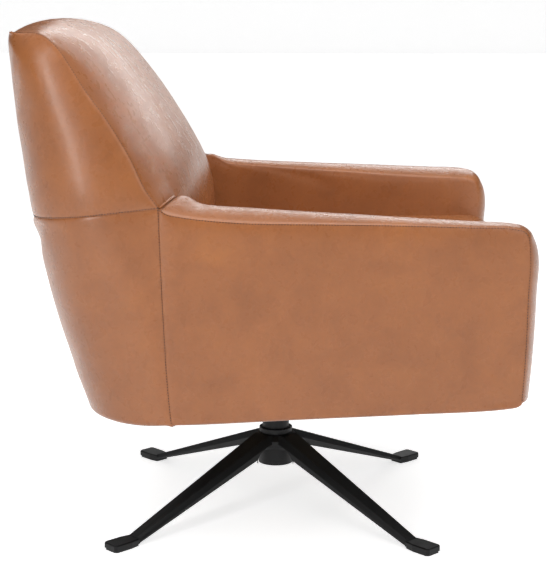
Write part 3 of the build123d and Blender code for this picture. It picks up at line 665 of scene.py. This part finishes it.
def settle(piece, seams, give, pressure=cover_pressure):
    """Lets the cover fill out under pressure between its seams, no point moving further than it gives."""
    start = points_of(piece)
    gaps = distance_to(start, seams)
    group = piece.vertex_groups.new(name="held")
    for index in np.nonzero(gaps < held_band)[0].tolist():
        group.add([index], 1.0, "REPLACE")
    cloth = piece.modifiers.new("cloth", "CLOTH")
    cloth.settings.quality = cloth_quality
    cloth.settings.mass = leather_mass
    cloth.settings.tension_stiffness = leather_stiffness
    cloth.settings.compression_stiffness = leather_stiffness
    cloth.settings.shear_stiffness = leather_stiffness / 2
    cloth.settings.bending_stiffness = leather_bending
    cloth.settings.use_pressure = True
    cloth.settings.uniform_pressure_force = pressure
    cloth.settings.effector_weights.gravity = 0.0
    cloth.settings.vertex_group_mass = "held"
    cloth.collision_settings.use_self_collision = False
    cloth.point_cache.frame_start = 1
    cloth.point_cache.frame_end = cloth_frames
    for number in range(1, cloth_frames + 1):
        bpy.context.scene.frame_set(number)
    moved = points_of(piece.evaluated_get(bpy.context.evaluated_depsgraph_get())) - start
    reach = np.linalg.norm(moved, axis=1, keepdims=True)
    soft = give * np.tanh(reach / give)
    piece.modifiers.remove(cloth)
    piece.vertex_groups.remove(group)
    set_points(piece, start + moved * soft / np.maximum(reach, 1e-9))
    bpy.context.scene.frame_set(1)


def dress(piece, seams, puff, thickness=0.0):
    """Draws the cover into its seams, swells it beside them, gives it its thickness and smooths it."""
    co = points_of(piece)
    gaps = distance_to(co, seams)
    rise = puff * (1 - np.exp(-gaps / puff_reach)) - groove_depth * np.exp(-((gaps / groove_width) ** 2))
    set_points(piece, co + normals_of(piece) * rise[:, None])
    if thickness:
        solid = piece.modifiers.new("thickness", "SOLIDIFY")
        solid.thickness = thickness
        solid.offset = -1.0
        solid.use_even_offset = False
    smoothing = piece.modifiers.new("smoothing", "SUBSURF")
    smoothing.levels = 1
    smoothing.render_levels = 1


def finish_piece(piece, material, *nodes, slot="leather", body="seat", fill=None):
    """Gives a piece its finish and the body it rides on, and hides the nodes it replaces; fill, how full its
    padding is, is not used.
    """
    piece.data.materials.append(material)
    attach(piece, body)
    if nodes:
        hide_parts(*nodes)
    return piece


# Materials

def node_material(name):
    material = bpy.data.materials.new(name)
    material.use_nodes = True
    tree = material.node_tree
    return material, tree, tree.nodes["Principled BSDF"]


def add(tree, kind, **values):
    node = tree.nodes.new(kind)
    for key, value in values.items():
        if key in node.inputs:
            node.inputs[key].default_value = value
        else:
            setattr(node, key, value)
    return node


def noise(tree, place, scale, detail=4.0, roughness=0.55, distortion=0.0):
    node = add(tree, "ShaderNodeTexNoise", Scale=scale, Detail=detail, Roughness=roughness,
               Distortion=distortion)
    tree.links.new(place, node.inputs["Vector"])
    return node.outputs["Fac"]


def ramp(tree, value, stops):
    """Colours between a few stops, picked by a value."""
    node = add(tree, "ShaderNodeValToRGB")
    while len(node.color_ramp.elements) < len(stops):
        node.color_ramp.elements.new(0.5)
    for element, (place, colour) in zip(node.color_ramp.elements, stops):
        element.position = place
        element.color = (*colour, 1.0) if len(colour) == 3 else colour
    tree.links.new(value, node.inputs["Fac"])
    return node.outputs["Color"]


def mix(tree, share, first, second, blend="MIX"):
    node = add(tree, "ShaderNodeMix", data_type="RGBA", blend_type=blend)
    for value, socket in ((share, node.inputs[0]), (first, node.inputs[6]), (second, node.inputs[7])):
        if isinstance(value, bpy.types.NodeSocket):
            tree.links.new(value, socket)
        else:
            socket.default_value = value
    return node.outputs[2]


def bump(tree, height, strength, distance, before=None):
    node = add(tree, "ShaderNodeBump", Strength=strength, Distance=distance)
    tree.links.new(height, node.inputs["Height"])
    if before is not None:
        tree.links.new(before, node.inputs["Normal"])
    return node.outputs["Normal"]


def grey(value):
    return (value, value, value)


def srgb(red, green, blue):
    """Linear colour of an sRGB colour given from 0 to 255."""
    def linear(value):
        value /= 255
        return value / 12.92 if value <= 0.04045 else ((value + 0.055) / 1.055) ** 2.4
    return tuple(linear(value) for value in (red, green, blue))


def tones(*stops):
    """Ramp stops whose colours are given from 0 to 255."""
    return [(place, srgb(*colour)) for place, colour in stops]


def leather_material():
    """Tan leather: cloudy tone, darker patches, fine specks, pores and creases."""
    material, tree, shader = node_material("tan_leather")
    place = add(tree, "ShaderNodeTexCoord").outputs["Object"]
    clouds = noise(tree, place, 7.5, 3.0, 0.6, 0.35)
    base = ramp(tree, clouds, tones((0.30, (146, 89, 50)), (0.48, (157, 97, 56)), (0.62, (163, 101, 58)),
                                    (0.74, (172, 107, 57))))
    patches = noise(tree, place, 19.0, 5.0, 0.62, 0.6)
    marks = ramp(tree, patches, tones((0.34, (144, 87, 50)), (0.50, (160, 98, 57)), (0.72, (170, 106, 60))))
    colour = mix(tree, 0.45, base, marks)
    fine = noise(tree, place, 210.0, 3.0, 0.6)
    speck = ramp(tree, fine, [(0.30, grey(0.80)), (0.62, grey(1.0))])
    colour = mix(tree, 0.5, colour, speck, "MULTIPLY")
    tree.links.new(colour, shader.inputs["Base Color"])
    pores = add(tree, "ShaderNodeTexVoronoi", Scale=620.0, feature="DISTANCE_TO_EDGE")
    tree.links.new(place, pores.inputs["Vector"])
    pebbles = ramp(tree, pores.outputs["Distance"], [(0.0, grey(0)), (0.22, grey(1))])
    creases = noise(tree, place, 55.0, 4.0, 0.55, 0.3)
    gloss = ramp(tree, creases, [(0.3, grey(0.25)), (0.7, grey(0.32))])
    tree.links.new(gloss, shader.inputs["Roughness"])
    grain = bump(tree, pebbles, 0.16, 0.0005)
    grain = bump(tree, fine, 0.10, 0.0004, grain)
    grain = bump(tree, creases, 0.06, 0.0012, grain)
    tree.links.new(grain, shader.inputs["Normal"])
    shader.inputs["Specular IOR Level"].default_value = 0.42
    shader.inputs["Coat Weight"].default_value = 0.14
    shader.inputs["Coat Roughness"].default_value = 0.18
    return material


def powder_coat(name="black_powder_coat", tone=(11, 11, 12), rough=(0.42, 0.54)):
    """Black coat, a shade lighter where it is worn, with a fine speckle."""
    material, tree, shader = node_material(name)
    place = add(tree, "ShaderNodeTexCoord").outputs["Object"]
    speckle = noise(tree, place, 900.0, 2.0, 0.5)
    wear = noise(tree, place, 24.0, 4.0, 0.6)
    lighter = [value + 7 for value in tone]
    colour = ramp(tree, wear, tones((0.35, tone), (0.7, lighter)))
    tree.links.new(colour, shader.inputs["Base Color"])
    gloss = ramp(tree, wear, [(0.3, grey(rough[0])), (0.7, grey(rough[1]))])
    tree.links.new(gloss, shader.inputs["Roughness"])
    tree.links.new(bump(tree, speckle, 0.25, 0.0003), shader.inputs["Normal"])
    shader.inputs["Specular IOR Level"].default_value = 0.3
    return material


def plain_finish(name, low, high, scale, rough, metal=0.0, relief=0.2, relief_scale=300.0,
                 stretch=(1, 1, 1)):
    """Mottled finish for the inner pieces: wood, felt, nylon, steel."""
    material, tree, shader = node_material(name)
    mapping = add(tree, "ShaderNodeMapping")
    mapping.inputs["Scale"].default_value = stretch
    tree.links.new(add(tree, "ShaderNodeTexCoord").outputs["Object"], mapping.inputs["Vector"])
    place = mapping.outputs["Vector"]
    tone = noise(tree, place, scale, 6.0, 0.6, 0.4)
    tree.links.new(ramp(tree, tone, tones((0.3, low), (0.7, high))), shader.inputs["Base Color"])
    surface = bump(tree, noise(tree, place, relief_scale, 3.0), relief, 0.0005)
    tree.links.new(surface, shader.inputs["Normal"])
    shader.inputs["Roughness"].default_value = rough
    shader.inputs["Metallic"].default_value = metal
    return material


def webbing_finish(name, light, dark, scale):
    """Woven finish: ribs both ways with a little fray."""
    material, tree, shader = node_material(name)
    place = add(tree, "ShaderNodeTexCoord").outputs["Object"]
    warp = add(tree, "ShaderNodeTexWave", Scale=scale, wave_type="BANDS", bands_direction="X")
    weft = add(tree, "ShaderNodeTexWave", Scale=scale, wave_type="BANDS", bands_direction="Y")
    for wave in (warp, weft):
        tree.links.new(place, wave.inputs["Vector"])
    both = mix(tree, 0.5, warp.outputs["Color"], weft.outputs["Color"])
    fray = noise(tree, place, 160.0, 3.0)
    tone = mix(tree, 0.3, both, fray)
    tree.links.new(ramp(tree, tone, tones((0.3, dark), (0.7, light))), shader.inputs["Base Color"])
    tree.links.new(bump(tree, both, 0.5, 0.0006), shader.inputs["Normal"])
    shader.inputs["Roughness"].default_value = 0.85
    shader.inputs["Sheen Weight"].default_value = 0.2
    return material


leather = leather_material()
black_coat = powder_coat()
black_plastic = powder_coat("black_plastic", (24, 24, 25), (0.42, 0.55))
thread = plain_finish("brown_thread", (38, 20, 12), (58, 33, 21), 400.0, 0.7)
nylon = plain_finish("nylon", (222, 219, 208), (234, 231, 222), 40.0, 0.45)
steel = plain_finish("bright_steel", (150, 152, 155), (176, 178, 181), 60.0, 0.32, 1.0, 0.1)
dark_steel = plain_finish("black_steel", (30, 30, 31), (46, 46, 47), 60.0, 0.5, 0.4)
plywood = plain_finish("plywood", (176, 138, 92), (206, 170, 122), 22.0, 0.6, stretch=(1, 6, 30))
hardwood = plain_finish("hardwood", (164, 122, 76), (196, 156, 106), 16.0, 0.62, stretch=(1, 7, 7))
felt = plain_finish("grey_felt", (98, 98, 98), (124, 124, 122), 180.0, 0.95, 0.0, 0.5, 700.0)
webbing = webbing_finish("jute_webbing", (178, 150, 108), (120, 94, 60), 260.0)
cambric = webbing_finish("black_cambric", (34, 34, 35), (18, 18, 19), 420.0)

finishes = {"leather": leather, "black_metal": black_coat, "black_plastic": black_plastic, "nylon": nylon,
            "bright_steel": steel, "black_steel": dark_steel, "plywood": plywood, "hardwood": hardwood,
            "webbing": webbing, "felt": felt, "cloth": cambric}


# Frame nodes that stay

def finish_nodes():
    """Gives each node of the frame its finish, and softens the casting's edges."""
    slots = node_slots(frame["record"])
    for name, node in frame["nodes"].items():
        material = finishes[slots.get(name, "black_metal")]
        if not node.data.materials:
            node.data.materials.append(material)
        for place in node.material_slots:
            place.material = material
    casting = frame["nodes"]["base_casting"]
    weld = casting.modifiers.new("weld", "WELD")
    weld.merge_threshold = 0.00002
    bevel = casting.modifiers.new("soft_edges", "BEVEL")
    bevel.width = 0.0014
    bevel.segments = 2
    bevel.limit_method = "ANGLE"
    bevel.angle_limit = math.radians(22)


def node_slots(record):
    """Material slot of each node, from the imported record."""
    return {row["node"]: row["material_slot"] for row in record["subparts"]}


# Stitching and welts

def stitching(rows, covers):
    """Short stitches laid on the covers. A row is a line, the way out from it and its sideways offset."""
    graph = bpy.context.evaluated_depsgraph_get()
    trees = [BVHTree.FromObject(cover, graph) for cover in covers]
    points, faces = [], []
    for line, out, offset in rows:
        line = np.asarray(line)
        count = max(2, int(length_of(line) / stitch_pitch))
        places = (np.arange(count) + 0.5) / count
        step = 0.3 / count
        middles = smooth(line, places)
        ahead = smooth(line, np.clip(places + step, 0, 1)) - smooth(line, np.clip(places - step, 0, 1))
        outward = np.broadcast_to(np.asarray(out, float), (len(line), 3))
        outward = np.stack([np.interp(places, place_along(line), outward[:, i]) for i in range(3)], axis=1)
        for middle, along, up in zip(middles, ahead, outward):
            up, along = Vector(up).normalized(), Vector(along).normalized()
            aside = up.cross(along).normalized()
            seat = outermost(trees, Vector(middle) + aside * offset, up)
            if seat is not None:
                add_stitch(points, faces, seat, along, aside, up)
    mesh = bpy.data.meshes.new("seam_stitching")
    mesh.from_pydata(points, [], faces)
    mesh.shade_smooth()
    piece = bpy.data.objects.new("seam_stitching", mesh)
    bpy.context.scene.collection.objects.link(piece)
    return piece


def add_stitch(points, faces, seat, along, aside, up):
    """Adds one stitch: rings along it, closed at both ends."""
    start = len(points)
    for place, width in stitch_sections:
        centre = seat + along * (place * stitch_length)
        for i in range(stitch_sides):
            turn = math.tau * i / stitch_sides
            lift = math.sin(turn) * width * stitch_flatness + stitch_lift_share
            points.append(centre + (aside * (math.cos(turn) * width) + up * lift) * stitch_radius)
    last = len(stitch_sections) - 1
    for band in range(last):
        for i in range(stitch_sides):
            a = start + band * stitch_sides + i
            b = start + band * stitch_sides + (i + 1) % stitch_sides
            faces.append((a, b, b + stitch_sides, a + stitch_sides))
    faces.append(tuple(start + i for i in reversed(range(stitch_sides))))
    faces.append(tuple(start + last * stitch_sides + i for i in range(stitch_sides)))


def outermost(trees, point, up):
    """Where the covers' outside lies above or below a point."""
    best = None
    for tree in trees:
        seat, _, _, gap = tree.ray_cast(point + up * stitch_search, -up, 2 * stitch_search)
        if seat is not None and (best is None or gap < best[1]):
            best = (seat, gap)
    return None if best is None else best[0]


def welt(name, curve):
    """Cord of leather along the arm's rear end, tapered where it runs into the seams."""
    line = smooth(curve, np.linspace(0.02, 0.97, welt_points))
    turns = np.linspace(0, math.tau, welt_sides + 1)[:-1]
    last = welt_points - 1
    rows = []
    for index, place in enumerate(line):
        along = line[min(index + 1, last)] - line[max(index - 1, 0)]
        along /= np.linalg.norm(along)
        aside = np.cross(along, arm_end_out)
        aside /= np.linalg.norm(aside)
        up = np.cross(aside, along)
        size = welt_radius * min(1, 0.35 + 0.16 * min(index, last - index))
        centre = place + up * welt_lift
        rows.append([centre + (aside * math.cos(turn) + up * math.sin(turn)) * size for turn in turns])
    rows = np.array(rows)
    return mesh_piece(name, [np.concatenate([rows, rows[:, :1]], axis=1)], tuple(line.mean(axis=0)))


# Build the covers

sides = ((1, "left"), (-1, "right"))
seam_curve = smooth(side_seam, np.linspace(0, 1, 150))
upright_curve = smooth(upright_seam, np.linspace(0, 1, 120))
sloping = plan_path(half, joint.y, rear_seam_y, corner_radius, np.linspace(0, 1, 220))
sloping = np.column_stack([sloping, joint.z - seam_slope * (sloping[:, 1] - joint.y)])
sloping_curve = round_trip(sloping[None])[0]

grids, arm_outer_line, arm_inner_line, arm_end = arm_cover()
arm_seams = [np.column_stack([np.full(len(arm_outer_line), half), arm_outer_line]),
             np.column_stack([np.full(len(arm_inner_line), arm_inside), arm_inner_line]),
             upright_curve,
             smooth(arm_end, np.linspace(0, 1, 50))]
arms = []
for side, name in sides:
    turned = [grid * np.array([side, 1.0, 1.0]) for grid in grids]
    arm = mesh_piece(f"arm_cover_{name}", turned, (side * (half + arm_inside) / 2, -0.1, 0.4))
    seams = [mirrored(line) if side < 0 else line for line in arm_seams]
    settle(arm, seams, arm_give, arm_pressure)
    dress(arm, seams, side_puff, skin)
    finish_piece(arm, leather, f"arm_pad_{name}", fill=0.85)
    arms.append(arm)

shell = lower_shell()
front, front_edge, lip_curve = back_front(arm_end)
wings = rear_cover(lip_curve)
shell_edges = [sloping_curve, upright_curve, mirrored(upright_curve)]
wing_edges = [seam_curve, mirrored(seam_curve), sloping_curve, lip_curve]
front_edges = [front_edge, mirrored(front_edge), lip_curve]
settle(shell, shell_edges, shell_give)
dress(shell, shell_edges, side_puff, skin)
settle(wings, wing_edges, back_give)
dress(wings, wing_edges, back_puff, thin_skin)
settle(front, front_edges, back_give)
dress(front, front_edges, back_puff, thin_skin)
finish_piece(shell, leather, "lower_shell", fill=0.9)
finish_piece(wings, leather, "rear_cover", fill=0.85)
finish_piece(front, leather, "back_pad", fill=0.8)

seat, seat_seams = cushion()
settle(seat, seat_seams, seat_give)
dress(seat, seat_seams, seat_puff)
finish_piece(seat, leather, "seat_cushion", fill=0.9)
nose, nose_edges = apron()
dress(nose, nose_edges, seat_puff, skin)
finish_piece(nose, leather, "front_apron", fill=0.9)

under = dust_cover()
finish_piece(under, cambric, "dust_cover", slot="cloth")
pad = deck()
finish_piece(pad, felt, "deck_pad", slot="felt", fill=0.8)
for node in ("seat_webbing", "cross_webbing", "back_webbing"):
    finish_piece(straps(node), webbing, node, slot="webbing")

finish_nodes()

for side, name in sides:
    finish_piece(welt(f"arm_welt_{name}", arm_end * np.array([side, 1.0, 1.0])), leather)

# Rows of stitches beside the side seams, the upright seams, the arms' outer seams, their rear ends and
# the sloping seam, each with the way out of the leather there
one_side = [(seam_curve, (0.80, -0.40, 0.45)),
            (upright_curve, (1.0, 0.0, 0.0)),
            (arm_seams[0], (0.9, 0.0, 0.45)),
            (arm_end + [0, -0.003, 0.001], arm_end_out)]
rows = []
for curve, out in one_side:
    rows.append((curve, out, stitch_offset))
    rows.append((mirrored(curve), mirrored(out), -stitch_offset))
turn = np.gradient(sloping_curve, axis=0)
level_out = np.column_stack([turn[:, 1], -turn[:, 0], np.zeros(len(turn))])
level_out *= np.sign((level_out * (sloping_curve - [0, 0.1, 0])).sum(axis=1))[:, None]
rows.append((sloping_curve, level_out, stitch_offset))
finish_piece(stitching(rows, arms + [shell, wings, front]), thread, slot="leather")


# Camera, floor and light

camera = bpy.data.objects.new("camera", bpy.data.cameras.new("camera"))
bpy.context.scene.collection.objects.link(camera)
bpy.context.scene.camera = camera
level_reach = math.cos(camera_pitch)
forward = Vector((math.cos(camera_pan) * level_reach, math.sin(camera_pan) * level_reach,
                  -math.sin(camera_pitch)))
camera.data.lens = camera_lens
camera.data.sensor_width = camera_sensor
camera.location = camera_place
camera.rotation_mode = "QUATERNION"
camera.rotation_quaternion = forward.to_track_quat("-Z", "Y")


def lamp(name, place, target, size, power, roll=0):
    """Rectangular soft lamp aimed at a point, rolled about its axis by some degrees."""
    light = bpy.data.lights.new(name, "AREA")
    light.shape = "RECTANGLE"
    light.size, light.size_y = size
    light.energy = power
    piece = bpy.data.objects.new(name, light)
    piece.location = place
    piece.rotation_mode = "QUATERNION"
    aim = (Vector(target) - Vector(place)).to_track_quat("-Z", "Y")
    piece.rotation_quaternion = aim @ Quaternion((0, 0, 1), math.radians(roll))
    bpy.context.scene.collection.objects.link(piece)


lamp("top_softbox", (-0.3, -0.4, 2.5), (0, 0, 0.5), (2.0, 1.6), 28)
lamp("camera_side_softbox", (-2.6, -1.6, 1.9), (0, 0, 0.45), (2.0, 2.0), 33)
lamp("far_strip", (3.0, -0.14, 1.47), (0, 0.1, 0.70), (1.9, 0.34), 9.5, 20)
lamp("far_panel", (3.0, 0.0, 0.92), (0, 0.1, 0.70), (1.1, 0.36), 0.35)
lamp("rear_strip", (-2.2, 1.5, 1.25), (0, 0.25, 0.6), (0.35, 1.5), 22)

world = bpy.data.worlds.new("studio")
bpy.context.scene.world = world
world.use_nodes = True
sky = world.node_tree
height = add(sky, "ShaderNodeSeparateXYZ")
sky.links.new(add(sky, "ShaderNodeTexCoord").outputs["Generated"], height.inputs[0])
tone = ramp(sky, height.outputs["Z"], [(place, grey(value)) for place, value in sky_stops])
sky.links.new(tone, sky.nodes["Background"].inputs["Color"])

stage_mesh = bpy.data.meshes.new("studio_floor")
ground = [(-stage_reach, -stage_reach, 0), (stage_reach, -stage_reach, 0), (stage_reach, stage_reach, 0),
          (-stage_reach, stage_reach, 0)]
stage_mesh.from_pydata(ground + [(x, y, stage_rise) for x, y, _ in ground], [],
                       [(0, 1, 2, 3), (1, 0, 4, 5), (2, 1, 5, 6), (3, 2, 6, 7), (0, 3, 7, 4)])
floor = bpy.data.objects.new("studio_floor", stage_mesh)
bpy.context.scene.collection.objects.link(floor)
material, tree, shader = node_material("studio_floor")
tone = noise(tree, add(tree, "ShaderNodeTexCoord").outputs["Object"], 2.0)
paint = ramp(tree, tone, [(0.3, grey(0.90)), (0.7, grey(0.92))])
tree.links.new(paint, shader.inputs["Base Color"])
shader.inputs["Roughness"].default_value = 0.9
shader.inputs["Specular IOR Level"].default_value = 0.1
shader.inputs["Emission Color"].default_value = (1.0, 1.0, 1.0, 1.0)
path = add(tree, "ShaderNodeLightPath")
seen = path.outputs["Is Camera Ray"]
for kind in ("Is Glossy Ray", "Is Transmission Ray"):
    either = add(tree, "ShaderNodeMath", operation="MAXIMUM")
    tree.links.new(seen, either.inputs[0])
    tree.links.new(path.outputs[kind], either.inputs[1])
    seen = either.outputs[0]
glow = add(tree, "ShaderNodeMath", operation="MULTIPLY")
tree.links.new(seen, glow.inputs[0])
glow.inputs[1].default_value = floor_glow
tree.links.new(glow.outputs[0], shader.inputs["Emission Strength"])
floor.data.materials.append(material)

bpy.context.scene.view_settings.view_transform = "Standard"
